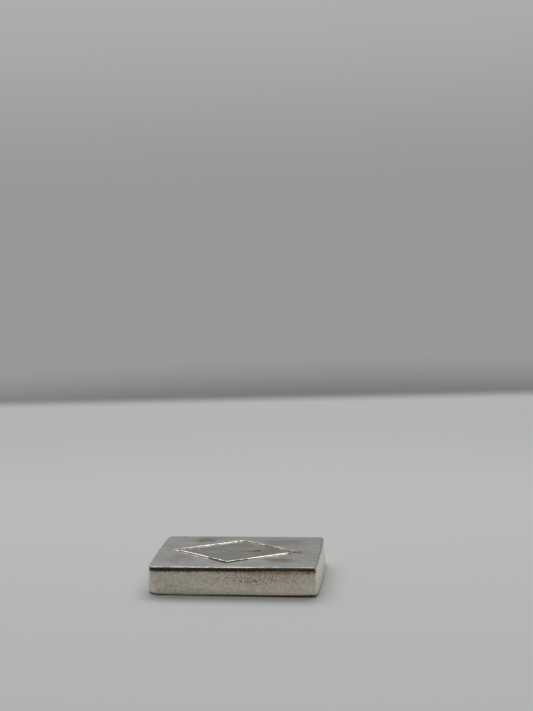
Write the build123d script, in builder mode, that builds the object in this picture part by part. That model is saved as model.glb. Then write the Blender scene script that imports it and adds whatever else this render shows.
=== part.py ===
from build123d import *

import os
from math import atan2, degrees, hypot, radians, tan

# A small bar of cast silver, poured in an open mould and lying with its poured side down.
# Sizes are in millimetres. X runs along the bar, Y towards its back and Z up.
# The origin is on the floor, in the middle of the base.

# Overall size of the bar at the foot of its walls, where the rim is then rounded
length = 31.7
width = 18.6

# Height of the marked face in its middle, and how far it falls from the right end to the left one
height = 5.3
face_fall = 0.15

# The mould's draft leans the walls in, and the walls bow out a little between the corners
side_draft = 4.5
end_draft = 3.3
side_bow = 0.07
end_bow = 0.25

# Upright corners round the marked face, and the fuller ones that the melt left at the foot
face_front_left_radius = 0.75
face_front_right_radius = 0.6
face_back_right_radius = 0.65
face_back_left_radius = 1.1
foot_front_left_radius = 2.0
foot_front_right_radius = 1.4
foot_back_right_radius = 1.0
foot_back_left_radius = 1.6

# Soft edge round the marked face, and the rim round the poured face
face_edge_radius = 0.45
rim_radius = 0.5

# The poured face is flat in the middle and rises in a gentle arc to each end
base_flat_length = 15.0
base_end_rise = 0.22

# Raised line of the mark: the four tips of a slender rhombus, cut by eye and so a little uneven
left_tip = (-12.0, 0.5)
front_tip = (-1.45, -6.3)
right_tip = (10.9, -0.2)
back_tip = (0.0, 6.05)
line_width = 0.45
line_height = 0.15
line_flank_angle = 40

# The two back strokes run on past the ends of the mark in short tails
left_tail = 1.1
right_tail = 1.0

# Half the outline at its corners, at the foot and round the marked face
foot_half_length = length / 2 - end_bow
foot_half_width = width / 2 - side_bow
face_half_length = foot_half_length - height * tan(radians(end_draft))
face_half_width = foot_half_width - height * tan(radians(side_draft))

# Plane of the marked face, which falls a little to the left
face_plane = Plane(origin=(0, 0, height), x_dir=(length, 0, face_fall), z_dir=(-face_fall, 0, length))

# The two outlines of the body: plane, half length, half width and corner radii
levels = [
    (
        Plane.XY,
        foot_half_length,
        foot_half_width,
        [foot_front_left_radius, foot_front_right_radius, foot_back_right_radius, foot_back_left_radius],
    ),
    (
        face_plane,
        face_half_length,
        face_half_width,
        [face_front_left_radius, face_front_right_radius, face_back_right_radius, face_back_left_radius],
    ),
]


def past(start, tip, extra):
    """The point that lies past tip by extra, on the line from start."""
    share = 1 + extra / hypot(tip[0] - start[0], tip[1] - start[1])
    return (start[0] + (tip[0] - start[0]) * share, start[1] + (tip[1] - start[1]) * share)


# The four strokes of the mark
strokes = [
    (back_tip, past(back_tip, left_tip, left_tail)),
    (left_tip, front_tip),
    (front_tip, right_tip),
    (back_tip, past(back_tip, right_tip, right_tail)),
]

with BuildPart() as ingot:
    # Body: drafted walls between the outline at the foot and the one round the marked face
    for plane, half_x, half_y, radii in levels:
        corners = [(-half_x, -half_y), (half_x, -half_y), (half_x, half_y), (-half_x, half_y)]
        with BuildSketch(plane) as outline:
            with BuildLine():
                ThreePointArc(corners[0], (0, -half_y - side_bow), corners[1])
                ThreePointArc(corners[1], (half_x + end_bow, 0), corners[2])
                ThreePointArc(corners[2], (0, half_y + side_bow), corners[3])
                ThreePointArc(corners[3], (-half_x - end_bow, 0), corners[0])
            make_face()
            for corner, radius in zip(corners, radii):
                fillet(outline.vertices().sort_by_distance(corner)[0], radius)
    loft(ruled=True)

    # Poured face: the metal under a gentle arc is taken away towards each end
    with BuildSketch(Plane.XZ) as under_end:
        with BuildLine():
            rise = TangentArc((base_flat_length / 2, 0), (length / 2, base_end_rise), tangent=(1, 0))
            Polyline(rise @ 1, (length / 2, -rim_radius), (base_flat_length / 2, -rim_radius), rise @ 0)
        make_face()
        mirror(about=Plane.YZ)
    extrude(amount=width, both=True, mode=Mode.SUBTRACT)

    # Edges: the rim round the poured face, and the softer edge round the marked face
    poured_faces = ingot.faces().filter_by(lambda face: face.normal_at().Z < -0.9)
    seams = ingot.edges().filter_by(Axis.Y)
    fillet((poured_faces.edges() - seams), rim_radius)
    fillet(ingot.faces().sort_by(Axis.Z)[-1].edges(), face_edge_radius)

    # Mark: each stroke is a low ridge with sloping flanks and round ends
    for start, end in strokes:
        run_x = end[0] - start[0]
        run_y = end[1] - start[1]
        with BuildSketch(face_plane):
            with Locations(((start[0] + end[0]) / 2, (start[1] + end[1]) / 2)):
                SlotCenterToCenter(hypot(run_x, run_y), line_width, rotation=degrees(atan2(run_y, run_x)))
        extrude(amount=line_height, taper=line_flank_angle)

ingot.part.label = "ingot"

os.makedirs("parts", exist_ok=True)
export_step(ingot.part, "parts/ingot.step")
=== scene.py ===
"""A small bar of cast silver with a raised line on its face, on a plain pale floor."""

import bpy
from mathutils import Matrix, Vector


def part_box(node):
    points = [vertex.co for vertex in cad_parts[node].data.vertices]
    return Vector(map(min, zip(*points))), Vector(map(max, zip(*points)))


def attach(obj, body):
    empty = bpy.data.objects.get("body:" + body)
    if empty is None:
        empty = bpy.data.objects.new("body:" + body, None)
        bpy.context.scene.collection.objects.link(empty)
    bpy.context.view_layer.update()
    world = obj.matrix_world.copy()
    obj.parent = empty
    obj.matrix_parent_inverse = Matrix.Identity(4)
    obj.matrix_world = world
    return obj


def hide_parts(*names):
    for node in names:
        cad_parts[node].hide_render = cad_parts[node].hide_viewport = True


bl_info = {
    "name": "Cast silver bar",
    "version": (1, 0, 0),
    "blender": (4, 5, 0),
    "location": "3D View > Sidebar > Silver bar",
    "description": "A small cast silver bar with a raised rhombus on its face, and a plain stage for it",
    "category": "Add Mesh",
}

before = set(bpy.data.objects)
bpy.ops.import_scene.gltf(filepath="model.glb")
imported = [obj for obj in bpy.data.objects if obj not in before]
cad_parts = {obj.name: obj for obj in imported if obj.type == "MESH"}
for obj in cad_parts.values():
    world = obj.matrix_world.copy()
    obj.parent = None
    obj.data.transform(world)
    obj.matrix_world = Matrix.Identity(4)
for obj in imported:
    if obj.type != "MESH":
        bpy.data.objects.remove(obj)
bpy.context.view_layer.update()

from math import atan2, cos, hypot, pi, radians, sin, tan

import bmesh
import bpy
import numpy as np
from bpy.props import FloatProperty, FloatVectorProperty, IntProperty, PointerProperty
from mathutils import Matrix, Vector

NODE = "ingot"
BODY = "root"

# The bar is worked in millimetres, because Blender's tools stop at a tenth of one in metres
PER_METRE = 1000.0

cad_low, cad_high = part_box(NODE)
cad_size = cad_high - cad_low

# How finely the outlines and the section of the walls are cut
CORNER_SEGMENTS = 10
SIDE_CUTS = 23
RIM_ROWS = 10
WALL_ROWS = 9
SHOULDER_ROWS = 11
EDGE_ROWS = 9

# How near counts as the same corner, and how far apart two rows of the wall are at least, in millimetres
SAME_CORNER = 0.01
ROW_STEP = 0.05

# Which way a wall has to face to take the front's section, and from what share of its height it swells
FRONT_FACING = (0.65, 0.97)
SWELL_FROM = 0.25

# Raised line: how it is cut, how much its lumps vary it, and how it tapers, in millimetres and shares
RIDGE_SIDES = 20
CUTS_PER_BEAD = 6
SPARE_BEADS = (2, 3)
BROAD_LUMPS = 0.16
FINE_LUMPS = 0.10
FINE_PITCH = 2.3
HIGH_LUMPS = 0.25
SIDE_LUMPS = 0.07
TAPER = 0.3
END_SHARE = 0.25
ROUNDNESS = 2.6
WELD = 0.001

# How far the strokes run on at the tips where they meet, and where one of them begins late
OVERLAP = 0.05
LATE_START = -1.0

# Steps of the weights in a vertex group
WEIGHT_STEPS = 20

# Softening of the skin after the remesh
SOFTENING = 0.5
SOFTEN_TIMES = 2

# Groove at the foot of the line: its middle and reach as shares of half the line's width, and its depth
GROOVE_MIDDLE = 1.3
GROOVE_REACH = 0.7
GROOVE_DEPTH = 0.045

# Front edge of the face: how far forward and how deep under the face it wavers, in millimetres
EDGE_FRONT = (8.2, 8.7)
WAVER_BAND = (1.3, 0.4)

# Its dips, each with a place along the bar, a reach and a depth
EDGE_DIPS = (
    (-10.0, 4.5, 0.02),
    (0.9, 2.4, 0.035),
    (8.3, 3.0, -0.03),
    (14.0, 1.2, 0.02),
)

# Rough skin: slopes of the skin, heights and depths under the face, and how rough it is there
WALL_SLOPE = (0.5, 0.85)
FACE_SLOPE = (0.75, 0.97)
BASE_SLOPE = (0.6, 0.95)
NICK_SLOPE = (0.9, 0.99)
NICK_BAND = (0.75, 0.2)
FOOT_BAND = (0.3, 2.6)
FOOT_ROUGHNESS = (0.45, 0.55)
HEAD_BAND = (1.1, 0.5)
HEAD_SMOOTHNESS = 0.75

# The rougher patch of the front wall: its middle, its reach and what it adds
PITTED_MIDDLE = (4.5, 3.5)
PITTED_REACH = (6, 1.2)
PITTED_ROUGHNESS = (0.5, 0.6)

# Layers of the skin: name, group, size of the lumps, their height and their detail
SKIN_LAYERS = (
    ("waves", "walls", 3.1, 0.015, 1),
    ("grain", "walls", 0.45, 0.05, 2),
    ("fine_grain", "walls", 0.21, 0.055, 1),
    ("face_swell", "face", 3.0, 0.014, 2),
    ("edge_nicks", "edge", 0.55, 0.055, 2),
    ("base_swell", "base", 2.2, 0.05, 3),
)

# Pits of the front wall: place along it, height, radius and depth, and how the wall leans
PIT_LEAN = 0.08
PITS = (
    (-0.9, 3.65, 0.35, 0.09),
    (-0.35, 3.75, 0.3, 0.08),
    (1.75, 3.1, 0.4, 0.12),
    (2.6, 2.8, 0.32, 0.09),
    (3.1, 2.95, 0.28, 0.08),
    (4.6, 3.1, 0.3, 0.08),
    (-9.5, 3.2, 0.28, 0.05),
    (-13.4, 3.9, 0.25, 0.05),
)

# Masks that the material reads
MASKS = ("line", "line_foot", "field", "end", "wall", "edge", "shoulder")

# Where the masks begin and end: depths under the face, slopes, and shares of half the line's width
TOP_BAND = (0.2, 0.1)
RIM_BAND = (0.13, 0.07)
RIM_SLOPE = (0.95, 0.995)
SHOULDER_BAND = (0.85, 0.55)
SHOULDER_SLOPE = (0.8, 0.95)
END_SLOPE = (0.65, 0.97)
UPRIGHT_SLOPE = (0.75, 0.95)
FIELD_BORDER = (-0.1, 0.2)
LINE_BORDER = (0.7, 1.1)
LINE_FOOT_MIDDLE = 1.15
LINE_FOOT_REACH = 0.8
LINE_CLEARANCE = 2.5

# Farther than any point of the bar, in millimetres
FAR_AWAY = 99.0

# Noises of the silver: size of the lumps in metres, detail and roughness
NOISES = {
    "cloud": (0.0042, 3.0, 0.5),
    "mottle": (0.00042, 4.0, 0.7),
    "streaks": (0.0016, 5.0, 0.68),
    "patchy": (0.0009, 2.0, 0.5),
    "stain_border": (0.0011, 2.0, 0.5),
    "share_drift": (0.0007, 2.0, 0.5),
    "ahead_drift": (0.0009, 3.0, 0.6),
    "worn": (0.0005, 2.0, 0.5),
    "ragged": (0.0005, 3.0, 0.7),
    "hanging": (0.0006, 3.0, 0.6),
    "speckle": (0.0003, 2.0, 0.75),
    "rubbed": (0.0012, 4.0, 0.6),
    "grain": (0.00022, 3.0, 0.65),
    "fine_grain": (0.00012, 2.0, 0.5),
}

# How three of the noises are stretched
STRETCHES = {"streaks": (1.0, 1.0, 0.35), "rubbed": (0.35, 1.0, 1.0), "fine_grain": (0.3, 1.0, 1.0)}

# Soft steps of the materials and the world, in metres or shares: from and to, and the values there where
# they aren't 0 and 1
STEPS = {
    "cloudy": (0.35, 0.65),
    "painted_light_front": (-0.004, 0.0085, 0.0, 0.12),
    "mottled": (0.35, 0.62),
    "painted_shade_up": (0.0, 0.0042, 0.0, 0.2),
    "darker_left": (0.004, -0.016, 0.0, 0.15),
    "darker_corner": (-0.0145, -0.0156, 0.0, 0.1),
    "painted_shade_end_foot": (0.0042, 0.0006, 0.0, 0.2),
    "streaked_end": (0.56, 0.36, 0.0, 0.16),
    "mottled_end": (0.46, 0.36, 0.0, 0.14),
    "patchy": (0.38, 0.6),
    "stain": (1.15, 0.3),
    "share_drift": (0.2, 0.8, -0.03, 0.03),
    "ahead_drift": (0.2, 0.8, -0.00012, 0.00012),
    "on_top": (0.0048, 0.005),
    "worn": (0.32, 0.55, 0.75, 1.0),
    "front": (-0.0078, -0.0086),
    "red_foot": (0.0037, 0.0045),
    "red_head": (0.0051, 0.00475),
    "red_side": (-0.006, 0.004, 0.25, 1.0),
    "ragged": (0.34, 0.6, 0.45, 1.0),
    "hanging": (0.5, 0.62),
    "hanging_foot": (0.0041, 0.0045),
    "hanging_head": (0.00505, 0.0048),
    "speckled": (1.25, 0.3, 0.0, 0.9),
    "speckle": (0.48, 0.38),
    "shoulder": (-0.002, 0.006, 0.5, 0.25),
    "painted_shade_right_edge": (0.0025, 0.006, 0.0, 0.55),
    "right_border_shade": (0.01505, 0.0152),
    "corner_shade_left": (0.01465, 0.0148),
    "corner_shade_right": (0.0151, 0.0149),
    "contact_shade_head": (0.0005, 0.0003),
    "contact_shade_left": (-0.012, 0.004, 0.1, 0.85),
    "contact_shade_right": (0.015, 0.0115, 0.2, 1.0),
    # Painted shade: the floor is painted darker towards the back
    "floor_back": (0.03, 0.15, 0.0, 0.15),
    "room_foot": (-0.2, -0.145, 0.15, 0.315),
    "room_rise": (0.0, 0.2, 0.0, 0.11),
    "upper": (0.42, 0.85, 0.0, 0.85),
    "across": (-1.0, 1.0, 1.2, 0.82),
    "dim_corner": (cos(radians(18)), cos(radians(8)), 1.0, 0.35),
    "dark_front": (cos(radians(58)), cos(radians(38))),
}

# Shades of the bare colours, where they are cloudy or mottled
FACE_SHADES = (0.94, 1.0)
FIELD_SHADES = (0.66, 0.74)
WALL_SHADES = (0.78, 1.0)

# Tints over the bare metal: how strong they are at most, and their colour
TINTS = {
    "worn_line": (0.95, (1.0, 0.97, 0.90)),
    "hanging": (0.8, (0.11, 0.08, 0.055)),
    "blush": (0.14, (0.42, 0.33, 0.27)),
    "speckle": (1.0, (0.22, 0.15, 0.11)),
    # Painted shade along the face's right border
    "right_border_shade": (0.4, (0.20, 0.195, 0.175)),
}
PALE = (1.0, 1.0, 0.97)
BLACK = (0.0, 0.0, 0.0)
END_STREAKS = (0.30, 0.27, 0.21)
END_MOTTLE = (0.30, 0.25, 0.19)
# Crisp edge round the face: painted darker to tone down its highlight, with painted shade towards its right
# end
EDGE_PALE = (0.64, 0.63, 0.595)
EDGE_DULL = (0.43, 0.41, 0.37)
EDGE_RIGHT_SHADE = (0.12, 0.115, 0.10)
LINE_FOOT_TARNISH = 0.45
EDGE_STRENGTH = 0.9
CORNER_SHADE_STRENGTH = 0.22
RED_STRENGTH = 0.95

# Stains of the face: centre and radii in metres, strength and tint, and how uneven their borders are
FACE_LEVEL = 0.0053
STAIN_DEPTH = 300
STAIN_UNEVENNESS = 0.9
STAINS = (
    ((-0.0076, 0.0063), (0.0026, 0.0017), 0.85, (0.36, 0.28, 0.19)),
    ((-0.0098, -0.0044), (0.0040, 0.0030), 0.45, (0.40, 0.395, 0.37)),
    ((-0.0058, 0.0078), (0.0062, 0.0014), 0.4, (0.40, 0.395, 0.37)),
    ((0.0020, 0.0008), (0.0060, 0.0034), 0.4, (0.62, 0.57, 0.41)),
    ((0.0055, -0.0001), (0.0036, 0.0023), 0.45, (0.36, 0.32, 0.19)),
    ((0.0024, 0.0004), (0.0038, 0.0010), 0.5, (0.86, 0.78, 0.64)),
    ((0.0026, 0.0002), (0.0032, 0.0005), 0.85, (0.25, 0.18, 0.10)),
    ((0.0037, 0.0004), (0.0010, 0.0005), 1.0, (0.10, 0.07, 0.045)),
    ((0.0086, -0.0046), (0.0036, 0.0017), 0.8, (0.38, 0.34, 0.22)),
    ((-0.0009, -0.0005), (0.0026, 0.0016), 0.15, (0.34, 0.31, 0.21)),
    ((0.0078, 0.0052), (0.0050, 0.0026), 0.75, (0.44, 0.42, 0.37)),
    ((-0.0105, -0.0012), (0.0020, 0.0024), 0.3, (0.46, 0.43, 0.38)),
)

# Strips of tarnish and painted shade along the line: stroke, shares of its length, how far in front of its
# middle they begin and end in millimetres, strength and tint. The dark strips in front of a stroke are
# painted shade of its front flank, and some darken part of a stroke to thin its highlight; the rest are
# tarnish
ACROSS = (-0.3, 0.3)
FLANK_SHADE = (0.03, 0.025, 0.015)
OLIVE = (0.16, 0.135, 0.075)
SHARE_SOFTNESS = 0.03
STRIP_SOFTNESS = 0.00006
STRIPS = (
    ("front_left", (0.06, 0.66), (0.26, 0.44), 0.75, (0.12, 0.09, 0.06)),
    ("front_left", (0.67, 0.80), (0.13, 0.50), 1.0, FLANK_SHADE),
    ("front_left", (0.76, 1.02), (0.11, 0.62), 1.0, FLANK_SHADE),
    ("front_right", (-0.03, 0.18), (0.02, 0.60), 1.0, FLANK_SHADE),
    ("front_right", (0.14, 0.33), (0.02, 0.48), 1.0, FLANK_SHADE),
    ("front_right", (-0.01, 0.30), (-0.25, 0.05), 0.8, OLIVE),
    ("front_right", (0.31, 0.56), (0.13, 0.5), 1.0, (0.09, 0.075, 0.045)),
    ("front_right", (0.54, 0.84), (0.15, 0.45), 0.8, (0.20, 0.165, 0.11)),
    ("front_right", (0.80, 0.90), ACROSS, 0.7, (0.42, 0.38, 0.31)),
    ("front_right", (0.87, 1.06), (-0.4, 0.4), 1.0, (0.09, 0.07, 0.045)),
    ("back_left", (0.075, 0.10), ACROSS, 1.0, (0.16, 0.14, 0.11)),
    ("back_left", (0.69, 0.72), ACROSS, 1.0, (0.16, 0.14, 0.11)),
    ("back_left", (0.72, 0.94), (-0.3, 0.34), 0.55, (0.30, 0.27, 0.22)),
    ("back_left", (0.86, 1.12), (0.06, 0.34), 0.8, (0.16, 0.13, 0.09)),
    ("back_left", (0.92, 1.12), (-0.3, 0.1), 1.0, (0.15, 0.14, 0.11)),
    ("front_left", (-0.05, 0.11), ACROSS, 0.7, (0.30, 0.27, 0.22)),
    ("front_right", (0.56, 0.84), ACROSS, 0.4, (0.42, 0.40, 0.35)),
    ("back_right", (-0.03, 0.06), ACROSS, 1.0, (0.10, 0.09, 0.07)),
    ("back_right", (0.0, 0.42), ACROSS, 1.0, (0.22, 0.195, 0.155)),
    ("back_right", (0.18, 0.28), ACROSS, 0.4, (0.55, 0.52, 0.46)),
    ("back_right", (0.40, 0.72), ACROSS, 1.0, (0.17, 0.15, 0.12)),
    ("back_right", (0.72, 0.84), ACROSS, 1.0, (0.30, 0.24, 0.19)),
    ("back_right", (0.84, 1.12), (-0.3, 0.4), 1.0, (0.13, 0.10, 0.065)),
)

# Which way the face is painted paler, as painted light towards the front
PAINTED_LIGHT_WAY = (-0.1, -0.99, 0.0)

# Reddish band: the middle of it along the bar, and how it climbs away from there
RED_MIDDLE = 0.008
RED_CLIMB = 0.035

# Speckled patch of the front wall: its middle, one over its reach, and the speckle found elsewhere
SPECKLED_MIDDLE = (0.0045, 0.0, 0.0035)
SPECKLED_REACH = (120, 0, 560)
SPECKLE_ELSEWHERE = 0.05

# Bow of the face's right border
BORDER_BOW = 3.2

# Sheen: how much rougher or smoother the silver is where it is rubbed, mottled, worn, dull or polished
SHEEN_SPAN = (0.3, 0.7)
RUBBED = (-0.02, 0.03)
MOTTLED = (0.06, -0.05)
LINE_POLISH = 0.13
DULLNESS = 0.28
SHOULDER_POLISH = 0.17
EDGE_LOSS = 2.0

# Relief of the fine grain
FACE_GRAIN = 0.12
GRAIN_STRENGTH = 0.55
GRAIN_HEIGHT = 0.00003

# World: how much of the wall is light, of the upper part is left out of reflections, and the dark front
ROOM_LIGHT = 0.6
UPPER_LOSS = 0.6
FRONT_LIGHT = 0.035
DIM_WAY = (0.34, 0.93, 0.02)
FRONT_WAY = (0.0, -cos(radians(22)), sin(radians(22)))

# Floor's soft far edge, in metres
FLOOR_FADE = 0.02

# Camera: width of its sensor in millimetres, and what it sees first in metres
SENSOR_WIDTH = 36
CLIP_START = 0.001

# Places of the first input and of the result of a mix node, by what it mixes
MIX_SOCKETS = {"FLOAT": (2, 0), "RGBA": (6, 2)}


def one_length(name, description, default):
    """A length in a group of settings."""
    return FloatProperty(name=name, description=description, default=default, unit="LENGTH")


def some_lengths(name, description, *default):
    """Several lengths in a group of settings."""
    return FloatVectorProperty(
        name=name, description=description, default=default, size=len(default), unit="LENGTH"
    )


def one_angle(name, description, degrees):
    """An angle in a group of settings."""
    return FloatProperty(name=name, description=description, default=radians(degrees), unit="ROTATION")


def one_power(name, description, default):
    """The power of a lamp in a group of settings."""
    return FloatProperty(name=name, description=description, default=default, unit="POWER")


def one_share(name, description, default):
    """A number from 0 to 1 in a group of settings."""
    return FloatProperty(name=name, description=description, default=default, min=0, max=1)


def one_colour(name, description, *default):
    """A colour in a group of settings."""
    return FloatVectorProperty(
        name=name, description=description, default=default, size=len(default), subtype="COLOR"
    )


class BarSizes(bpy.types.PropertyGroup):
    """Sizes of the cast body."""

    length: one_length("Length", "Length at the fullest part", cad_size.x)
    width: one_length("Width", "Width at the fullest part", cad_size.y)
    height: one_length("Height", "Height of the face in its middle", 0.0053)
    face_fall: one_length("Face fall", "How far the face falls to the left", 0.00015)
    skin: one_length("Skin", "Room kept for the rough skin of the casting", 0.00003)
    side_draft: one_angle("Side draft", "Lean of the long walls", 4.5)
    end_draft: one_angle("End draft", "Lean of the end walls", 3.3)
    side_bow: one_length("Side bow", "How far the long walls bow out", 0.00007)
    end_bow: one_length("End bow", "How far the end walls bow out", 0.00025)
    foot_radii: some_lengths(
        "Foot corners",
        "Corner radii at the foot: front left, front right, back right, back left",
        *(0.002, 0.0011, 0.001, 0.0016),
    )
    face_radii: some_lengths(
        "Face corners",
        "Corner radii at the face: front left, front right, back right, back left",
        *(0.00075, 0.00038, 0.00065, 0.0011),
    )
    rim_heights: some_lengths(
        "Rim height", "How high the rim curls up at the left and right", 0.00022, 0.00052
    )
    rim_reach: one_length("Rim reach", "How far in from the wall the rim begins", 0.0005)
    shoulder_radii: some_lengths(
        "Shoulder",
        "Radius of the soft shoulder under the face: front left, front right and the other walls",
        *(0.0018, 0.00115, 0.0006),
    )
    front_swell: some_lengths(
        "Front swell", "How far the front wall swells at the left and right", 0.0004, 0.00002
    )
    shoulder_turn: one_angle("Shoulder turn", "How far the shoulder turns up", 42)
    edge_radius: one_length("Edge", "Radius of the crisp edge round the face", 0.0001)
    base_flat: some_lengths(
        "Flat of the base", "How far the base is flat to the left and right of its middle", 0.0075, 0.004
    )
    base_rise: some_lengths(
        "Rise of the base", "How far the base rises at its left and right ends", 0.00022, 0.00034
    )
    cell: one_length("Cell", "Size of the cells that the skin is worked in", 0.00006)
    triangles: IntProperty(
        name="Triangles", description="Triangles kept in the finished bar", default=194000
    )
    seed: IntProperty(name="Seed", description="Seed of the lumps along the line", default=11)


class MarkSizes(bpy.types.PropertyGroup):
    """Places and sizes of the raised line."""

    left_tip: some_lengths("Left tip", "Left tip of the mark", -0.012, 0.0005)
    front_tip: some_lengths("Front tip", "Front tip of the mark", -0.00125, -0.006)
    right_tip: some_lengths("Right tip", "Right tip of the mark", 0.0109, -0.0002)
    back_tip: some_lengths("Back tip", "Back tip of the mark", 0.0, 0.00605)
    line_width: one_length("Line width", "Width of the raised line", 0.0004)
    line_height: one_length("Line height", "Height of the raised line", 0.00015)
    bead: one_length("Bead", "Spacing of the small lumps along the line", 0.00055)
    left_tail: one_length("Left tail", "How far the line runs past the left tip", 0.0011)
    right_tail: one_length("Right tail", "How far the line runs past the right tip", 0.001)


class SilverFinish(bpy.types.PropertyGroup):
    """Colours and sheen of the cast silver."""

    silver: one_colour("Silver", "Colour of the bare metal", 0.665, 0.66, 0.63)
    walls: one_colour("Walls", "Colour of the rough walls", 0.98, 0.905, 0.772)
    ends: one_colour("Ends", "Colour of the end walls", 0.96, 0.93, 0.85)
    # Tarnish colour, also mixed in as painted shade at the foot and the front corner
    tarnish: one_colour("Tarnish", "Colour of the dark tarnish", 0.16, 0.13, 0.09)
    rust_tint: one_colour("Reddish tarnish", "Colour under the front edge", 0.37, 0.2, 0.14)
    face_roughness: one_share("Face roughness", "Roughness of the satin face", 0.26)
    wall_roughness: one_share("Wall roughness", "Roughness of the cast walls", 0.41)


class StageSettings(bpy.types.PropertyGroup):
    """Floor, light and camera."""

    camera_place: some_lengths("Camera place", "Where the camera stands", 0.032778, -0.18963, 0.070533)
    camera_turn: one_angle("Camera turn", "How far the camera turns left", 7.894)
    camera_dip: one_angle("Camera dip", "How far the camera looks down", 8.403)
    camera_roll: one_angle("Camera roll", "How far the camera leans over", 1.868)
    lens: FloatProperty(name="Lens", description="Focal length in millimetres", default=54.08)
    floor_colour: one_colour("Floor", "Colour of the floor", 0.475, 0.475, 0.475)
    floor_turn: one_angle("Floor turn", "How far the floor's far edge is turned", 4.5)
    floor_back: one_length("Floor back", "How far the floor goes behind the bar", 0.19)
    floor_reach: one_length("Floor reach", "How far the floor goes on the other sides", 1.2)
    lamp_power: one_power("Lamp", "Power of the lamp", 1.13)
    lamp_size: some_lengths("Lamp size", "Width and depth of the lamp", 0.46, 0.23)
    lamp_place: some_lengths("Lamp place", "Where the lamp hangs", 0.03, 0.25, 0.433)
    side_power: one_power("Side lamp", "Power of the side lamp", 0.22)
    side_size: some_lengths("Side lamp size", "Width and depth of the side lamp", 0.14, 0.14)
    side_place: some_lengths("Side lamp place", "Where the side lamp hangs", -0.23, 0.26, 0.37)


def millimetres(value):
    """A length, or several of them, from metres to the millimetres that the bar is worked in."""
    return np.array(value) * PER_METRE if hasattr(value, "__len__") else value * PER_METRE


def points_of(obj):
    """The points of a mesh as rows of x, y and z."""
    flat = np.empty(len(obj.data.vertices) * 3)
    obj.data.vertices.foreach_get("co", flat)
    return flat.reshape(-1, 3)


def put_points(obj, points):
    """Moves the points of a mesh."""
    obj.data.vertices.foreach_set("co", points.ravel())
    obj.data.update()


def normals_of(obj):
    """The normals at the points of a mesh."""
    flat = np.empty(len(obj.data.vertices) * 3)
    obj.data.vertex_normals.foreach_get("vector", flat)
    return flat.reshape(-1, 3)


def smooth_step(low, high, value):
    """From 0 at low to 1 at high, with soft ends."""
    share = np.clip((value - low) / (high - low), 0, 1)
    return share * share * (3 - 2 * share)


def under_face(level, height, low, high):
    """From 0 to 1 between two depths under the face."""
    return smooth_step(height - low, height - high, level)


def pick_only(*objs):
    """Selects these objects and nothing else, and makes the last one active."""
    if bpy.context.object and bpy.context.object.mode != "OBJECT":
        bpy.ops.object.mode_set(mode="OBJECT")
    bpy.ops.object.select_all(action="DESELECT")
    for obj in objs:
        obj.select_set(True)
    bpy.context.view_layer.objects.active = objs[-1]


def select_parts(obj, kind, wanted):
    """In edit mode, selects the points or edges that wanted says yes to, and nothing else."""
    bpy.ops.mesh.select_mode(type=kind)
    bpy.ops.mesh.select_all(action="DESELECT")
    mesh = bmesh.from_edit_mesh(obj.data)
    for part in mesh.verts if kind == "VERT" else mesh.edges:
        part.select = bool(wanted(part))
    mesh.select_flush_mode()
    bmesh.update_edit_mesh(obj.data)


def apply_modifier(obj, name, kind, **settings):
    """Adds a modifier with these settings and applies it."""
    pick_only(obj)
    modifier = obj.modifiers.new(name, kind)
    for key, value in settings.items():
        setattr(modifier, key, value)
    bpy.ops.object.modifier_apply(modifier=modifier.name)


def outline_plane(name, half_x, half_y, radii, side_bow, end_bow, height, fall):
    """An outline with rounded corners and bowed sides, at its height over the floor."""
    bpy.ops.object.select_all(action="DESELECT")
    bpy.ops.mesh.primitive_plane_add(size=2)
    plate = bpy.context.object
    plate.name = name
    bpy.ops.object.mode_set(mode="EDIT")
    bpy.ops.transform.resize(value=(half_x, half_y, 1))
    corners = [(-half_x, -half_y), (half_x, -half_y), (half_x, half_y), (-half_x, half_y)]
    for corner, radius in zip(corners, radii):
        near = Vector((*corner, 0))
        select_parts(plate, "VERT", lambda vert: (vert.co - near).length < SAME_CORNER)
        bpy.ops.mesh.bevel(
            offset=radius,
            offset_type="OFFSET",
            segments=CORNER_SEGMENTS,
            profile=0.5,
            affect="VERTICES",
        )
    select_parts(plate, "EDGE", lambda edge: edge.calc_length() > half_y / 2)
    bpy.ops.mesh.subdivide(number_cuts=SIDE_CUTS)
    bpy.ops.mesh.select_all(action="SELECT")
    bpy.ops.mesh.delete(type="ONLY_FACE")
    bpy.ops.object.mode_set(mode="OBJECT")
    points = points_of(plate)
    share_x = points[:, 0] / half_x
    share_y = points[:, 1] / half_y
    points[:, 0] += end_bow * share_x * (1 - share_y**2)
    points[:, 1] += side_bow * share_y * (1 - share_x**2)
    points[:, 2] = height + fall * points[:, 0]
    put_points(plate, points)
    return plate


def wall_section(height, draft, foot, reach, shoulder, turn, edge):
    """Heights up the wall, and how far the wall lies inside its straight line there."""
    rows = []
    for angle in np.linspace(-pi / 2, 0, RIM_ROWS):
        level = foot * (1 + sin(angle))
        rows.append((level, -level * tan(draft) - reach * (1 - cos(angle))))
    edge_foot = height - edge * (1 - sin(turn))
    shoulder_foot = edge_foot - shoulder * (sin(turn) - sin(draft))
    across = shoulder * (cos(draft) - cos(turn))
    shift = -shoulder_foot * tan(draft)
    for level in np.linspace(foot, shoulder_foot, WALL_ROWS)[1:]:
        rows.append((level, -level * tan(draft)))
    for angle in np.linspace(draft, turn, SHOULDER_ROWS)[1:]:
        level = edge_foot - shoulder * (sin(turn) - sin(angle))
        rows.append((level, shift - shoulder * (cos(draft) - cos(angle))))
    for angle in np.linspace(turn, pi / 2, EDGE_ROWS)[1:]:
        level = height - edge * (1 - sin(angle))
        rows.append((level, shift - across - edge * (cos(turn) - cos(angle))))
    return [(level, -level * tan(draft) - out) for level, out in rows]


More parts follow.
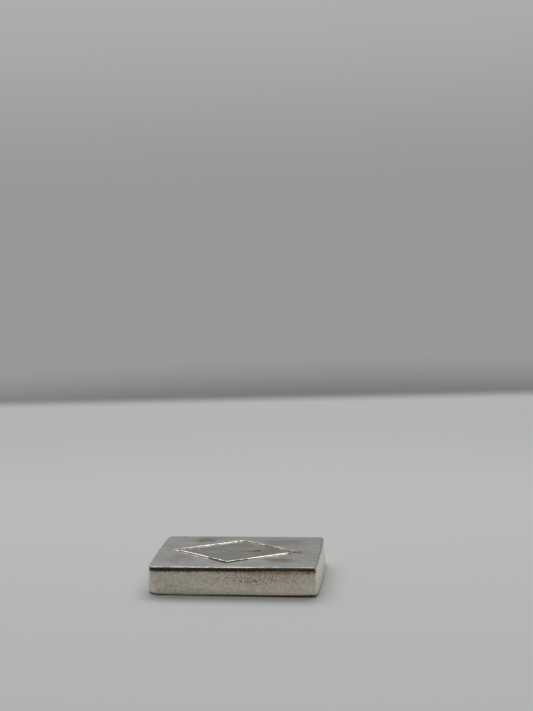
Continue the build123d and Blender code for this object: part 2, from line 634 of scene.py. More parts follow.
def upright_rows(obj):
    """Indices of a bridged wall's points, a row for each column from foot to face, in order round it."""
    mesh = bmesh.new()
    mesh.from_mesh(obj.data)
    rows = []
    for vert in mesh.verts:
        others = [edge.other_vert(vert) for edge in vert.link_edges]
        if any(other.co.z < vert.co.z - ROW_STEP for other in others):
            continue
        row = [vert]
        while True:
            above = [edge.other_vert(row[-1]) for edge in row[-1].link_edges]
            above = [other for other in above if other.co.z > row[-1].co.z + ROW_STEP]
            if not above:
                break
            row.append(above[0])
        rows.append((atan2(vert.co.y, vert.co.x), [point.index for point in row]))
    mesh.free()
    return np.array([row for angle, row in sorted(rows)])


def bridged_outlines(foot, face, cuts):
    """Joins the two outlines into one mesh, with walls between them that are cut into rows."""
    pick_only(face, foot)
    bpy.ops.object.join()
    body = bpy.context.object
    body.name = "silver_bar"
    bpy.ops.object.mode_set(mode="EDIT")
    bpy.ops.mesh.select_mode(type="EDGE")
    bpy.ops.mesh.select_all(action="SELECT")
    bpy.ops.mesh.bridge_edge_loops(number_cuts=cuts, interpolation="LINEAR")
    bpy.ops.object.mode_set(mode="OBJECT")
    return body


def close_body(body, middle):
    """Fills the open foot and the open face of the walls, which lie below and above the middle."""
    bpy.ops.object.mode_set(mode="EDIT")
    for above in (False, True):
        select_parts(
            body, "EDGE", lambda edge: edge.is_boundary and (edge.verts[0].co.z > middle) == above
        )
        bpy.ops.mesh.edge_face_add()
    bpy.ops.mesh.select_all(action="SELECT")
    bpy.ops.mesh.normals_make_consistent(inside=False)
    bpy.ops.object.mode_set(mode="OBJECT")


def cast_body(sizes):
    """The plain body: two outlines bridged into walls, with the section of a cast bar, and closed."""
    length, width, height = millimetres(sizes.length), millimetres(sizes.width), millimetres(sizes.height)
    skin, reach, edge = millimetres(sizes.skin), millimetres(sizes.rim_reach), millimetres(sizes.edge_radius)
    side_bow, end_bow = millimetres(sizes.side_bow), millimetres(sizes.end_bow)
    rims = millimetres(sizes.rim_heights)
    foot_x = length / 2 - end_bow - skin + rims[0] * tan(sizes.end_draft)
    foot_y = width / 2 - side_bow - skin + rims[0] * tan(sizes.side_draft)
    face_x = foot_x - height * tan(sizes.end_draft)
    face_y = foot_y - height * tan(sizes.side_draft)
    fall = millimetres(sizes.face_fall) / length
    foot = outline_plane("foot", foot_x, foot_y, millimetres(sizes.foot_radii), side_bow, end_bow, 0, 0)
    face_radii = millimetres(sizes.face_radii)
    face = outline_plane("face", face_x, face_y, face_radii, side_bow, end_bow, height, fall)
    front_left, front_right, others = millimetres(sizes.shoulder_radii)
    turn = sizes.shoulder_turn
    sections = {
        (end, side): wall_section(height, sizes.side_draft, rims[end], reach, shoulder, turn, edge)
        for end, shoulders in enumerate(((front_left, others), (front_right, others)))
        for side, shoulder in enumerate(shoulders)
    }
    body = bridged_outlines(foot, face, len(sections[0, 0]) - 2)

    rows = upright_rows(body)
    points = points_of(body)
    feet = points[rows[:, 0]]
    tops = points[rows[:, -1]]
    along = np.roll(feet, -1, axis=0) - np.roll(feet, 1, axis=0)
    outward = np.stack([along[:, 1], -along[:, 0], np.zeros(len(along))], axis=1)
    outward /= np.linalg.norm(outward, axis=1)[:, None]
    to_right = smooth_step(-foot_x, foot_x, feet[:, 0])[:, None]
    to_front = smooth_step(*FRONT_FACING, -outward[:, 1])[:, None]
    swells = millimetres(sizes.front_swell)
    swell = swells[0] * (1 - to_right) + swells[1] * to_right
    for ring in range(rows.shape[1]):
        corners = {key: np.array(section[ring]) for key, section in sections.items()}
        back = corners[0, 1] * (1 - to_right) + corners[1, 1] * to_right
        front = corners[0, 0] * (1 - to_right) + corners[1, 0] * to_right
        level, inset = (back * (1 - to_front) + front * to_front).T[:, :, None]
        inset = inset - swell * to_front * smooth_step(SWELL_FROM, 1, level / height)
        points[rows[:, ring]] = feet + (tops - feet) * (level / height) - outward * inset
    put_points(body, points)
    close_body(body, height / 2)
    return body


def stroke(start, end, level, fall, width, height, bead, tails, lumps, chance):
    """One stroke of the raised line: a low ridge with small lumps, half sunk in the face."""
    start, end = np.array(start), np.array(end)
    run = end - start
    span = hypot(*run)
    start = start - run / span * tails[0]
    span += sum(tails)
    bpy.ops.object.select_all(action="DESELECT")
    bpy.ops.mesh.primitive_cylinder_add(vertices=RIDGE_SIDES, radius=1, depth=1, end_fill_type="NGON")
    ridge = bpy.context.object
    bpy.ops.object.mode_set(mode="EDIT")
    select_parts(ridge, "EDGE", lambda edge: abs(edge.verts[0].co.z - edge.verts[1].co.z) > 0.5)
    bpy.ops.mesh.subdivide(number_cuts=int(span / bead * CUTS_PER_BEAD))
    bpy.ops.object.mode_set(mode="OBJECT")
    points = points_of(ridge)
    place = (points[:, 2] + 0.5) * span

    # The lumps change from station to station, a bead apart
    stations = np.arange(-SPARE_BEADS[0], span / bead + SPARE_BEADS[1]) * bead
    wander = chance.uniform(-1, 1, (4, len(stations)))
    swell = BROAD_LUMPS * np.interp(place, stations, wander[0])
    swell = swell + FINE_LUMPS * np.interp(place * FINE_PITCH, stations, wander[3])
    swell = 1 + lumps * swell
    lift = 1 + lumps * HIGH_LUMPS * np.interp(place, stations, wander[1])
    sideways = SIDE_LUMPS * width * np.interp(place, stations, wander[2])
    ends = np.minimum(place / (max(tails[0], 0) + TAPER), (span - place) / (tails[1] + TAPER))
    ends = END_SHARE + (1 - END_SHARE) * smooth_step(0, 1, ends)
    across = points[:, 0]
    new = np.empty_like(points)
    new[:, 0] = place
    new[:, 1] = across * width / 2 * swell * (0.5 + 0.5 * ends) + sideways
    new[:, 2] = np.sign(points[:, 1]) * height * lift * ends * (1 - np.abs(across) ** ROUNDNESS)

    # From its own axes to its place on the sloping face
    matrix = Matrix.Translation((*start, level)) @ Matrix.Rotation(atan2(run[1], run[0]), 4, "Z")
    matrix = np.array(matrix)
    new = new @ matrix[:3, :3].T + matrix[:3, 3]
    new[:, 2] += fall * new[:, 0]
    put_points(ridge, new)
    pick_only(ridge)
    bpy.ops.object.mode_set(mode="EDIT")
    bpy.ops.mesh.select_all(action="SELECT")
    bpy.ops.mesh.remove_doubles(threshold=WELD)
    bpy.ops.mesh.normals_make_consistent(inside=False)
    bpy.ops.object.mode_set(mode="OBJECT")
    return ridge


def group_by_weight(obj, name, weights):
    """A vertex group whose weights are rounded to a few steps."""
    group = obj.vertex_groups.new(name=name)
    steps = np.round(weights * WEIGHT_STEPS).astype(int)
    for step in range(1, WEIGHT_STEPS + 1):
        members = np.nonzero(steps == step)[0].tolist()
        if members:
            group.add(members, step / WEIGHT_STEPS, "REPLACE")


def roughen(obj, name, group, scale, strength, detail):
    """Pushes the skin in and out by cloudy lumps, where the group says so."""
    texture = bpy.data.textures.new(name, "CLOUDS")
    texture.noise_scale = scale
    texture.noise_depth = detail
    apply_modifier(
        obj,
        name,
        "DISPLACE",
        texture=texture,
        texture_coords="LOCAL",
        vertex_group=group,
        strength=strength,
        mid_level=0.5,
        direction="NORMAL",
    )
    bpy.data.textures.remove(texture)


def press_pits(obj, front_wall):
    """Presses small pits into the front wall."""
    points = points_of(obj)
    start = points.copy()
    for x, z, radius, depth in PITS:
        place = np.array((x, front_wall + PIT_LEAN * z, z))
        away = np.linalg.norm(start - place, axis=1)
        share = np.clip(1 - (away / radius) ** 2, 0, 1) ** 2
        points[:, 1] += depth * share
    put_points(obj, points)


def inside_mark(points, tips):
    """How far points lie inside the four strokes, seen from above."""
    depth = np.full(len(points), FAR_AWAY)
    for start, end in zip(tips, np.roll(tips, -1, axis=0)):
        run = (end - start) / hypot(*(end - start))
        away = points[:, :2] - start
        depth = np.minimum(depth, run[0] * away[:, 1] - run[1] * away[:, 0])
    return depth


def distance_to_line(points, strokes):
    """How far points lie from the nearest stroke of the raised line, seen from above."""
    near = np.full(len(points), FAR_AWAY)
    for start, end, *_ in strokes:
        run = end - start
        share = np.clip(((points[:, :2] - start) @ run) / (run @ run), 0, 1)
        nearest = start + share[:, None] * run
        near = np.minimum(near, np.linalg.norm(points[:, :2] - nearest, axis=1))
    return near


def lift_ends(points, sizes):
    """Raises the base towards both ends."""
    at_left = points[:, 0] < 0
    flat = np.where(at_left, *millimetres(sizes.base_flat))
    rise = np.where(at_left, *millimetres(sizes.base_rise))
    reach = np.clip((np.abs(points[:, 0]) - flat) / (millimetres(sizes.length) / 2 - flat), 0, 1)
    points[:, 2] += rise * reach**2 * np.clip(1 - points[:, 2] / millimetres(sizes.height), 0, 1) ** 2


def groove_line(points, strokes, half_line, height):
    """Presses a shallow groove along both feet of the raised line."""
    near = distance_to_line(points, strokes)
    away = np.abs(near - half_line * GROOVE_MIDDLE) / (half_line * GROOVE_REACH)
    points[:, 2] -= GROOVE_DEPTH * np.clip(1 - away**2, 0, 1) * (points[:, 2] > height / 2)


def waver_edge(points, height):
    """Lets the front edge of the face dip and rise a little along the bar."""
    at_edge = smooth_step(*EDGE_FRONT, -points[:, 1]) * under_face(points[:, 2], height, *WAVER_BAND)
    for x, reach, dip in EDGE_DIPS:
        points[:, 2] -= dip * at_edge * np.exp(-(((points[:, 0] - x) / reach) ** 2))


def group_skin(bar, height, fall):
    """Groups the skin into rough walls, calmer at foot and head, a face, a base and a nicked edge."""
    points = points_of(bar)
    up = normals_of(bar)[:, 2]
    level = points[:, 2] - fall * points[:, 0]
    wall = 1 - smooth_step(*WALL_SLOPE, np.abs(up))
    wall *= FOOT_ROUGHNESS[0] + FOOT_ROUGHNESS[1] * smooth_step(*FOOT_BAND, level)
    wall *= 1 - HEAD_SMOOTHNESS * under_face(level, height, *HEAD_BAND)
    off_x = (points[:, 0] - PITTED_MIDDLE[0]) / PITTED_REACH[0]
    off_z = (points[:, 2] - PITTED_MIDDLE[1]) / PITTED_REACH[1]
    pitted = np.exp(-(off_x**2) - off_z**2) * (points[:, 1] < 0)
    wall *= PITTED_ROUGHNESS[0] + PITTED_ROUGHNESS[1] * pitted
    group_by_weight(bar, "walls", wall)
    group_by_weight(bar, "face", smooth_step(*FACE_SLOPE, up))
    group_by_weight(bar, "base", smooth_step(*BASE_SLOPE, -up))
    edge = under_face(level, height, *NICK_BAND) * (1 - smooth_step(*NICK_SLOPE, up))
    group_by_weight(bar, "edge", edge)


def set_masks(bar, height, fall, half_line, strokes, tips):
    """Writes the masks that the material reads, a number at each point of the mesh."""
    points = points_of(bar)
    normals = normals_of(bar)
    up = normals[:, 2]
    level = points[:, 2] - fall * points[:, 0]
    near = distance_to_line(points, strokes)
    top = under_face(level, height, *TOP_BAND)
    off_foot = np.abs(near - half_line * LINE_FOOT_MIDDLE)
    border = [half_line * share for share in LINE_BORDER]
    rim = under_face(level, height, *RIM_BAND) * (1 - smooth_step(*RIM_SLOPE, up))
    masks = {
        "line": top * (1 - smooth_step(*border, near)),
        "line_foot": top * (1 - smooth_step(0, half_line * LINE_FOOT_REACH, off_foot)),
        "field": top * smooth_step(*FIELD_BORDER, inside_mark(points, tips)),
        "end": smooth_step(*END_SLOPE, np.abs(normals[:, 0])),
        "wall": 1 - smooth_step(*UPRIGHT_SLOPE, np.abs(up)),
        "edge": rim * (near > half_line * LINE_CLEARANCE),
        "shoulder": under_face(level, height, *SHOULDER_BAND) * (1 - smooth_step(*SHOULDER_SLOPE, up)),
    }
    for name in MASKS:
        attribute = bar.data.attributes.new(name, "FLOAT", "POINT")
        attribute.data.foreach_set("value", masks[name].astype(np.float32))


def tips_of(mark):
    """The tips of the mark in millimetres: left, front, right and back."""
    tips = (mark.left_tip, mark.front_tip, mark.right_tip, mark.back_tip)
    return np.array([millimetres(list(tip)) for tip in tips])


def strokes_of(mark):
    """The strokes of the mark: their ends and tails in millimetres, how full they are, and how lumpy."""
    left, front, right, back = tips_of(mark)
    return [
        (back, left, (OVERLAP, millimetres(mark.left_tail)), 1.0, 0.8),
        (left, front, (LATE_START, OVERLAP), 1.4, 0.45),
        (front, right, (OVERLAP, OVERLAP), 0.75, 1.0),
        (back, right, (OVERLAP, millimetres(mark.right_tail)), 0.9, 1.0),
    ]


def raised_line(mark, strokes, level, fall, chance):
    """The ridges of the raised line, one for each stroke."""
    bead = millimetres(mark.bead)
    ridges = []
    for start, end, tails, fullness, lumps in strokes:
        width = millimetres(mark.line_width) * fullness
        height = millimetres(mark.line_height) * fullness
        ridges.append(stroke(start, end, level, fall, width, height, bead, tails, lumps, chance))
    return ridges


def shape_skin(bar, sizes, strokes, half_line):
    """The cast skin: risen ends, a groove round the line, a wavering edge, rough walls and pits."""
    height = millimetres(sizes.height)
    points = points_of(bar)
    lift_ends(points, sizes)
    groove_line(points, strokes, half_line, height)
    waver_edge(points, height)
    put_points(bar, points)
    group_skin(bar, height, sizes.face_fall / sizes.length)
    for layer in SKIN_LAYERS:
        roughen(bar, *layer)
    press_pits(bar, -millimetres(sizes.width) / 2)


class BAR_OT_cast_bar(bpy.types.Operator):
    """Casts the silver bar with its raised line"""

    bl_idname = "silver_bar.cast_bar"
    bl_label = "Cast the bar"

    def execute(self, context):
        sizes = context.scene.bar_sizes
        mark = context.scene.mark_sizes
        chance = np.random.default_rng(sizes.seed)
        height = millimetres(sizes.height)
        fall = sizes.face_fall / sizes.length
        half_line = millimetres(mark.line_width) / 2

        # The body and the raised line become one rough skin
        strokes = strokes_of(mark)
        body = cast_body(sizes)
        pick_only(*raised_line(mark, strokes, height, fall, chance), body)
        bpy.ops.object.join()
        bar = bpy.context.object
        cell = millimetres(sizes.cell)
        apply_modifier(bar, "skin", "REMESH", mode="VOXEL", voxel_size=cell, use_smooth_shade=True)
        apply_modifier(bar, "soften", "SMOOTH", factor=SOFTENING, iterations=SOFTEN_TIMES)
        shape_skin(bar, sizes, strokes, half_line)
        triangles = sum(len(polygon.vertices) - 2 for polygon in bar.data.polygons)
        apply_modifier(bar, "thin_out", "DECIMATE", ratio=min(1, sizes.triangles / triangles))

        # Nothing stands outside the box of the cast body
        put_points(bar, np.clip(points_of(bar), millimetres(cad_low), millimetres(cad_high)))
        bar.vertex_groups.clear()
        set_masks(bar, height, fall, half_line, strokes, tips_of(mark))

        pick_only(bar)
        bar.scale = (1 / PER_METRE,) * 3
        bpy.ops.object.transform_apply(location=True, rotation=True, scale=True)
        bpy.ops.object.shade_smooth()
        bar.data.materials.clear()
        bar.data.materials.append(silver_material(context.scene.silver_finish, mark))
        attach(bar, BODY)
        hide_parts(NODE)
        return {"FINISHED"}


class Nodes:
    """A short way to write a node tree."""

    def __init__(self, tree):
        self.tree = tree
        tree.nodes.clear()

    def put(self, socket, value):
        """Links a socket to an input, or sets the input to a value."""
        if isinstance(value, bpy.types.NodeSocket):
            self.tree.links.new(value, socket)
        else:
            socket.default_value = value

    def add(self, kind, *inputs, **settings):
        """Adds a node, with its inputs by place, and its own settings or more inputs by name."""
        node = self.tree.nodes.new(kind)
        for place, value in enumerate(inputs):
            self.put(node.inputs[place], value)
        for key, value in settings.items():
            if hasattr(node, key):
                setattr(node, key, value)
            else:
                self.put(node.inputs[key.replace("_", " ")], value)
        return node

    def math(self, operation, *inputs, clamp=False):
        """The result of a sum with one or two values."""
        return self.add("ShaderNodeMath", *inputs, operation=operation, use_clamp=clamp).outputs[0]

    def times(self, value, *others):
        """The product of several values."""
        for other in others:
            value = self.math("MULTIPLY", value, other)
        return value

    def vector(self, operation, *inputs, output=0):
        """The result of a sum with vectors."""
        return self.add("ShaderNodeVectorMath", *inputs, operation=operation).outputs[output]

    def dot(self, first, second):
        """How far one vector goes along another."""
        return self.vector("DOT_PRODUCT", first, second, output=1)

    def range(self, value, low, high, to_low=0.0, to_high=1.0, kind="SMOOTHSTEP"):
        """The value taken from one range to another, with soft ends."""
        node = self.add("ShaderNodeMapRange", value, low, high, to_low, to_high, interpolation_type=kind)
        return node.outputs[0]

    def step(self, name, value, kind="SMOOTHSTEP"):
        """One of the soft steps named above."""
        return self.range(value, *STEPS[name], kind=kind)

    def between(self, value, low, high, soft):
        """1 between two limits and 0 outside them, with soft ends."""
        return self.times(
            self.range(value, low - soft, low + soft), self.range(value, high + soft, high - soft)
        )

    def mix(self, share, first, second, kind="RGBA"):
        """A mix of two colours, or of two numbers if kind is FLOAT."""
        node = self.add("ShaderNodeMix", data_type=kind)
        self.put(node.inputs[0], share)
        place, result = MIX_SOCKETS[kind]
        for offset, value in enumerate((first, second)):
            if kind == "RGBA" and not isinstance(value, bpy.types.NodeSocket):
                value = (*value, 1)
            self.put(node.inputs[place + offset], value)
        return node.outputs[result]


class SilverNodes(Nodes):
    """The nodes of the cast silver, with the places, masks and noises that several parts of it read."""

    def __init__(self, tree, finish):
        super().__init__(tree)
        self.finish = finish
        # The tarnish colour, also used for painted shade at the foot and the front corner
        self.tarnish = tuple(finish.tarnish)
        self.place = self.add("ShaderNodeTexCoord").outputs["Object"]
        self.x, self.y, self.z = self.add("ShaderNodeSeparateXYZ", self.place).outputs
        self.masks = {
            name: self.add("ShaderNodeAttribute", attribute_name=name).outputs["Fac"] for name in MASKS
        }
        self.mottle = self.noise("mottle")
        self.patchy = self.step("patchy", self.noise("patchy"))
        self.front = self.step("front", self.y)

    def noise(self, name):
        """One of the noises named above."""
        size, detail, roughness = NOISES[name]
        place = self.vector("MULTIPLY", self.place, STRETCHES[name]) if name in STRETCHES else self.place
        node = self.add(
            "ShaderNodeTexNoise", Vector=place, Scale=1 / size, Detail=detail, Roughness=roughness
        )
        return node.outputs[0]

    def shades(self, share, colour, shades):
        """A colour that goes from one of its shades to the other."""
        low, high = (tuple(shade * part for part in colour) for shade in shades)
        return self.mix(share, low, high)

    def tint(self, name, share, colour):
        """The colour with one of the tints named above over it, where share says so."""
        strength, tint = TINTS[name]
        return self.mix(self.times(share, strength), colour, tint)


def bare_metal(nodes):
    """Bare metal: a cloudy face painted paler towards the front as painted light, darker inside the mark,
    mottled walls painted darker towards the top as painted shade and also darker towards the left and at the
    left corner, and streaked end walls painted darker at their foot as painted shade.
    """
    masks, finish = nodes.masks, nodes.finish
    cloudy = nodes.step("cloudy", nodes.noise("cloud"))
    face = nodes.shades(cloudy, finish.silver, FACE_SHADES)
    # Painted light: the face is painted paler towards the front
    face = nodes.mix(nodes.step("painted_light_front", nodes.dot(nodes.place, PAINTED_LIGHT_WAY)), face, PALE)
    field = nodes.shades(cloudy, finish.silver, FIELD_SHADES)
    face = nodes.mix(nodes.math("SUBTRACT", masks["field"], masks["line"], clamp=True), face, field)

    wall = nodes.shades(nodes.step("mottled", nodes.mottle), finish.walls, WALL_SHADES)
    # Painted shade: the walls are painted darker towards the top; they are also darker towards the left and
    # at the left corner
    darker = nodes.math("ADD", nodes.step("painted_shade_up", nodes.z), nodes.step("darker_left", nodes.x))
    wall = nodes.mix(darker, wall, BLACK)
    wall = nodes.mix(nodes.step("darker_corner", nodes.x), wall, BLACK)

    # Painted shade: the end walls are painted darker towards their foot
    end = nodes.mix(nodes.step("painted_shade_end_foot", nodes.z), tuple(finish.ends), BLACK)
    end = nodes.mix(nodes.step("streaked_end", nodes.noise("streaks")), end, END_STREAKS)
    end = nodes.mix(nodes.step("mottled_end", nodes.mottle), end, END_MOTTLE)
    wall = nodes.mix(masks["end"], wall, end)
    return nodes.mix(masks["wall"], face, wall)


def stained(nodes, colour):
    """Tarnish at the foot of the raised line, and soft stains on the face, uneven at their borders."""
    foot = nodes.times(nodes.masks["line_foot"], nodes.patchy, LINE_FOOT_TARNISH)
    colour = nodes.mix(foot, colour, nodes.tarnish)
    uneven = nodes.times(nodes.math("SUBTRACT", nodes.noise("stain_border"), 0.5), STAIN_UNEVENNESS)
    for centre, radii, strength, tint in STAINS:
        away = nodes.vector("SUBTRACT", nodes.place, (*centre, FACE_LEVEL))
        away = nodes.vector("MULTIPLY", away, (1 / radii[0], 1 / radii[1], STAIN_DEPTH))
        length = nodes.math("ADD", nodes.vector("LENGTH", away, output=1), uneven)
        colour = nodes.mix(nodes.times(nodes.step("stain", length), strength), colour, tint)
    return colour


def along_stroke(nodes, first_tip, last_tip, drifts):
    """How far along a stroke, as a share of its length, and how far in front of its middle."""
    first = Vector((*first_tip, 0))
    run = Vector((*last_tip, 0)) - first
    front_side = Vector((run.y, -run.x, 0)).normalized()
    if front_side.y > 0:
        front_side.negate()
    away = nodes.vector("SUBTRACT", nodes.place, first)
    share = nodes.dot(away, run / run.length_squared)
    ahead = nodes.dot(away, front_side)
    return nodes.math("ADD", share, drifts[0]), nodes.math("ADD", ahead, drifts[1])


def line_tarnish_and_shade(nodes, mark, colour):
    """A worn bright line with strips of tarnish and painted shade along it. Gives the colour, and where it
    is dull.
    """
    drifts = [nodes.step(name, nodes.noise(name), "LINEAR") for name in ("share_drift", "ahead_drift")]
    strokes = {
        "front_left": along_stroke(nodes, mark.left_tip, mark.front_tip, drifts),
        "front_right": along_stroke(nodes, mark.front_tip, mark.right_tip, drifts),
        "back_left": along_stroke(nodes, mark.back_tip, mark.left_tip, drifts),
        "back_right": along_stroke(nodes, mark.back_tip, mark.right_tip, drifts),
    }
    on_top = nodes.times(nodes.step("on_top", nodes.z), nodes.step("worn", nodes.noise("worn")))
    colour = nodes.tint("worn_line", nodes.masks["line"], colour)
    dull = 0.0
    # Painted shade: the dark strips in front of a stroke stand in for its shaded front flank; the others are
    # tarnish
    for name, (first, last), (near, far), strength, tint in STRIPS:
        share, ahead = strokes[name]
        run = nodes.between(share, first, last, SHARE_SOFTNESS)
        strip = nodes.between(ahead, near / PER_METRE, far / PER_METRE, STRIP_SOFTNESS)
        strip = nodes.times(run, strip, on_top, strength)
        colour = nodes.mix(strip, colour, tint)
        dull = nodes.math("MAXIMUM", dull, strip)
    return colour, dull


def tarnished_walls(nodes, colour):
    """The reddish band under the front edge, with a ragged border, and the speckle of the front wall."""
    masks, x, z, front = nodes.masks, nodes.x, nodes.z, nodes.front
    off_middle = nodes.math("ABSOLUTE", nodes.math("SUBTRACT", x, RED_MIDDLE))
    foot = nodes.step("red_foot", nodes.math("SUBTRACT", z, nodes.times(off_middle, RED_CLIMB)))
    head = nodes.step("red_head", z)
    ragged = nodes.step("ragged", nodes.noise("ragged"))
    red = nodes.times(front, foot, head, nodes.step("red_side", x), ragged, RED_STRENGTH)
    colour = nodes.mix(red, colour, tuple(nodes.finish.rust_tint))

    hanging = nodes.times(nodes.step("hanging", nodes.noise("hanging")), front)
    hanging = nodes.times(hanging, nodes.step("hanging_foot", z), nodes.step("hanging_head", z))
    colour = nodes.tint("hanging", hanging, colour)

    patch = nodes.vector("SUBTRACT", nodes.place, SPECKLED_MIDDLE)
    patch = nodes.vector("MULTIPLY", patch, SPECKLED_REACH)
    patch = nodes.times(nodes.step("speckled", nodes.vector("LENGTH", patch, output=1)), front)
    colour = nodes.tint("blush", patch, colour)
    patch = nodes.math("ADD", patch, SPECKLE_ELSEWHERE)
    patch = nodes.times(patch, nodes.math("SUBTRACT", 1.0, masks["end"]))
    speckle = nodes.times(nodes.step("speckle", nodes.noise("speckle")), patch, masks["wall"])
    return nodes.tint("speckle", speckle, colour)


def shoulder_and_edge_shade(nodes, colour):
    """A darker shoulder, and painted shade: a darker edge round the face, a dark line along its right
    border, a dark line at the front corner, and dark contact shade along the foot.
    """
    masks, x, z = nodes.masks, nodes.x, nodes.z
    colour = nodes.mix(nodes.times(masks["shoulder"], nodes.step("shoulder", x)), colour, nodes.tarnish)
    # Painted shade: the edge round the face is painted darker to tone down its highlight, darkest towards
    # the right end
    edge = nodes.mix(nodes.patchy, EDGE_PALE, EDGE_DULL)
    edge = nodes.mix(nodes.step("painted_shade_right_edge", x), edge, EDGE_RIGHT_SHADE)
    colour = nodes.mix(nodes.times(masks["edge"], EDGE_STRENGTH), colour, edge)

    # Painted shade: a dark line along the face's bowed right border
    bowed = nodes.math("ADD", x, nodes.times(nodes.y, nodes.y, BORDER_BOW))
    right_border_shade = nodes.times(nodes.step("right_border_shade", bowed), nodes.math("SUBTRACT", 1.0, masks["wall"]))
    colour = nodes.tint("right_border_shade", right_border_shade, colour)
    # Painted shade: a dark line down the front wall at its right corner
    corner_shade = nodes.times(nodes.step("corner_shade_left", x), nodes.step("corner_shade_right", x), nodes.front)
    colour = nodes.mix(nodes.times(corner_shade, CORNER_SHADE_STRENGTH), colour, nodes.tarnish)

    # Painted shade: the foot of the walls is painted dark where the contact shadow falls, most in the middle
    # and towards the right, least at the left end
    along = nodes.times(nodes.step("contact_shade_left", x), nodes.step("contact_shade_right", x))
    contact_shade = nodes.times(nodes.step("contact_shade_head", z), along)
    return nodes.mix(contact_shade, colour, nodes.tarnish)


def sheen(nodes, dull):
    """Roughness: a satin face with faint rubbing, rough walls, and a smoother line and shoulder."""
    masks, finish = nodes.masks, nodes.finish
    face = [finish.face_roughness + change for change in RUBBED]
    face = nodes.range(nodes.noise("rubbed"), *SHEEN_SPAN, *face)
    wall = [finish.wall_roughness + change for change in MOTTLED]
    wall = nodes.range(nodes.mottle, *SHEEN_SPAN, *wall)
    roughness = nodes.mix(masks["wall"], face, wall, "FLOAT")
    roughness = nodes.math("SUBTRACT", roughness, nodes.times(masks["line"], LINE_POLISH))
    roughness = nodes.math("ADD", roughness, nodes.times(dull, DULLNESS))
    polished = nodes.math("SUBTRACT", masks["shoulder"], nodes.times(masks["edge"], EDGE_LOSS))
    return nodes.math("SUBTRACT", roughness, nodes.times(polished, SHOULDER_POLISH))


def silver_material(finish, mark):
    """Cast silver: a satin face, rough walls, and tarnish where the metal isn't touched."""
    material = bpy.data.materials.new("cast_silver")
    material.use_nodes = True
    nodes = SilverNodes(material.node_tree, finish)
    colour = stained(nodes, bare_metal(nodes))
    colour, dull = line_tarnish_and_shade(nodes, mark, colour)
    colour = shoulder_and_edge_shade(nodes, tarnished_walls(nodes, colour))

    # Fine grain that the mesh doesn't hold
    face_grain = nodes.times(nodes.noise("fine_grain"), FACE_GRAIN)
    relief = nodes.mix(nodes.masks["wall"], face_grain, nodes.noise("grain"), "FLOAT")
    bump = nodes.add("ShaderNodeBump", Strength=GRAIN_STRENGTH, Distance=GRAIN_HEIGHT, Height=relief)
    shader = nodes.add(
        "ShaderNodeBsdfPrincipled",
        Base_Color=colour,
        Metallic=1.0,
        Roughness=sheen(nodes, dull),
        Normal=bump.outputs[0],
    )
    nodes.add("ShaderNodeOutputMaterial", shader.outputs[0])
    return material


def floor_material(settings):
    """Plain pale floor, painted darker towards the back as painted shade, whose far edge fades out softly.
    """
    material = bpy.data.materials.new("pale_floor")
    material.use_nodes = True
    nodes = Nodes(material.node_tree)
    place = nodes.add("ShaderNodeTexCoord").outputs["Object"]
    turn = settings.floor_turn
    back = nodes.dot(place, (-sin(turn), cos(turn), 0.0))
    # Painted shade: the floor is painted darker towards the back
    shade = nodes.mix(nodes.step("floor_back", back), tuple(settings.floor_colour), BLACK)
    paper = nodes.add("ShaderNodeBsdfDiffuse", shade)
    clear = nodes.add("ShaderNodeBsdfTransparent")
    far = nodes.range(back, settings.floor_back - FLOOR_FADE, settings.floor_back)
    mixed = nodes.add("ShaderNodeMixShader", far, paper.outputs[0], clear.outputs[0])
    nodes.add("ShaderNodeOutputMaterial", mixed.outputs[0])
    return material


def surroundings(world):
    """Grey wall behind, pale above, and dark low in front, as the metal sees them."""
    world.use_nodes = True
    nodes = Nodes(world.node_tree)
    direction = nodes.add("ShaderNodeTexCoord").outputs["Generated"]
    across, _, rise = nodes.add("ShaderNodeSeparateXYZ", direction).outputs
    rays = nodes.add("ShaderNodeLightPath").outputs
    wall = nodes.math("ADD", nodes.step("room_foot", rise), nodes.step("room_rise", rise))

    # The pale upper part lights the bar in full, and is dimmer where the metal mirrors it
    in_reflections = nodes.math("SUBTRACT", 1.0, nodes.times(rays["Is Glossy Ray"], UPPER_LOSS))
    upper = nodes.times(nodes.step("upper", rise), in_reflections)
    lit = nodes.math("ADD", nodes.times(wall, ROOM_LIGHT), upper)
    lit = nodes.times(lit, nodes.step("across", across, "LINEAR"))
    lit = nodes.times(lit, nodes.step("dim_corner", nodes.dot(direction, Vector(DIM_WAY).normalized())))
    shade = nodes.step("dark_front", nodes.dot(direction, FRONT_WAY))
    seen = nodes.mix(shade, lit, FRONT_LIGHT, "FLOAT")
    strength = nodes.mix(rays["Is Camera Ray"], seen, wall, "FLOAT")
    background = nodes.add("ShaderNodeBackground", (1, 1, 1, 1), strength)
    nodes.add("ShaderNodeOutputWorld", background.outputs[0])


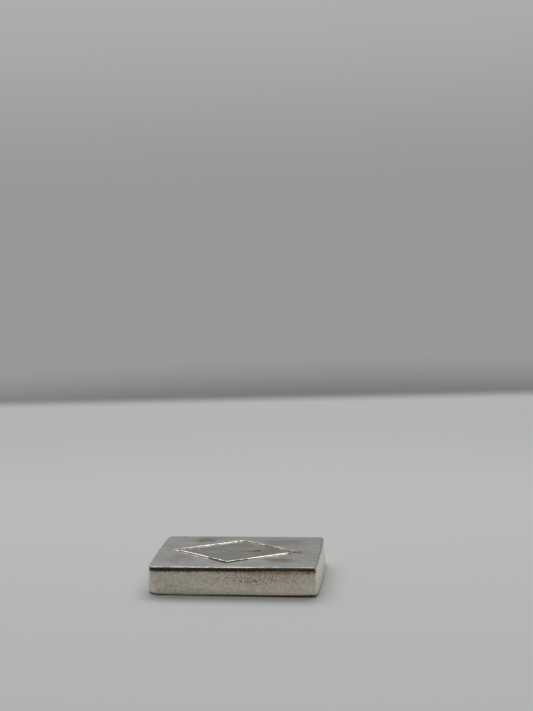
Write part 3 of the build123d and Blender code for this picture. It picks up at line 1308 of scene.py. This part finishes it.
class BAR_OT_lay_stage(bpy.types.Operator):
    """Lays the floor and sets the light and the camera"""

    bl_idname = "silver_bar.lay_stage"
    bl_label = "Lay the stage"

    def execute(self, context):
        scene = context.scene
        settings = scene.stage_settings
        reach = settings.floor_reach
        back = settings.floor_back
        bpy.ops.object.select_all(action="DESELECT")
        bpy.ops.mesh.primitive_plane_add(size=1)
        floor = context.object
        floor.name = "floor"
        floor.scale = (2 * reach, reach + back, 1)
        turn = settings.floor_turn
        floor.rotation_euler.z = turn
        floor.location = (-sin(turn) * (back - reach) / 2, cos(turn) * (back - reach) / 2, 0)
        bpy.ops.object.transform_apply(location=True, rotation=True, scale=True)
        floor.data.materials.append(floor_material(settings))

        for name, place, power, size in (
            ("soft_lamp", settings.lamp_place, settings.lamp_power, settings.lamp_size),
            ("side_lamp", settings.side_place, settings.side_power, settings.side_size),
        ):
            bpy.ops.object.light_add(type="AREA", location=place)
            lamp = context.object
            lamp.name = name
            lamp.data.energy = power
            lamp.data.shape = "RECTANGLE"
            lamp.data.size, lamp.data.size_y = size
            lamp.rotation_euler = Vector(place).to_track_quat("Z", "Y").to_euler()

        world = bpy.data.worlds.new("plain_room")
        scene.world = world
        surroundings(world)

        bpy.ops.object.camera_add()
        camera = context.object
        camera.name = "camera"
        camera.data.lens = settings.lens
        camera.data.sensor_width = SENSOR_WIDTH
        camera.matrix_world = (
            Matrix.Translation(settings.camera_place)
            @ Matrix.Rotation(settings.camera_turn, 4, "Z")
            @ Matrix.Rotation(pi / 2 - settings.camera_dip, 4, "X")
            @ Matrix.Rotation(-settings.camera_roll, 4, "Z")
        )
        camera.data.clip_start = CLIP_START
        scene.camera = camera
        scene.view_settings.view_transform = "Standard"
        return {"FINISHED"}


class BAR_PT_panel(bpy.types.Panel):
    """Sizes, finish and stage of the silver bar"""

    bl_label = "Silver bar"
    bl_idname = "BAR_PT_panel"
    bl_space_type = "VIEW_3D"
    bl_region_type = "UI"
    bl_category = "Silver bar"

    def draw(self, context):
        layout = self.layout
        for operator in (BAR_OT_cast_bar, BAR_OT_lay_stage):
            layout.operator(operator.bl_idname)
        for group in GROUPS:
            box = layout.box()
            settings = getattr(context.scene, group)
            for name in settings.bl_rna.properties.keys():
                if name not in ("name", "rna_type"):
                    box.prop(settings, name)


GROUPS = {
    "bar_sizes": BarSizes,
    "mark_sizes": MarkSizes,
    "silver_finish": SilverFinish,
    "stage_settings": StageSettings,
}
CLASSES = (*GROUPS.values(), BAR_OT_cast_bar, BAR_OT_lay_stage, BAR_PT_panel)


def register():
    """Registers the classes, and a group of settings on the scene for each group."""
    for kind in CLASSES:
        bpy.utils.register_class(kind)
    for name, kind in GROUPS.items():
        setattr(bpy.types.Scene, name, PointerProperty(type=kind))


def unregister():
    """Takes the settings and the classes away again."""
    for name in GROUPS:
        delattr(bpy.types.Scene, name)
    for kind in reversed(CLASSES):
        bpy.utils.unregister_class(kind)


def main():
    """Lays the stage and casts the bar."""
    register()
    bpy.ops.silver_bar.lay_stage()
    bpy.ops.silver_bar.cast_bar()


if __name__ == "__main__":
    main()
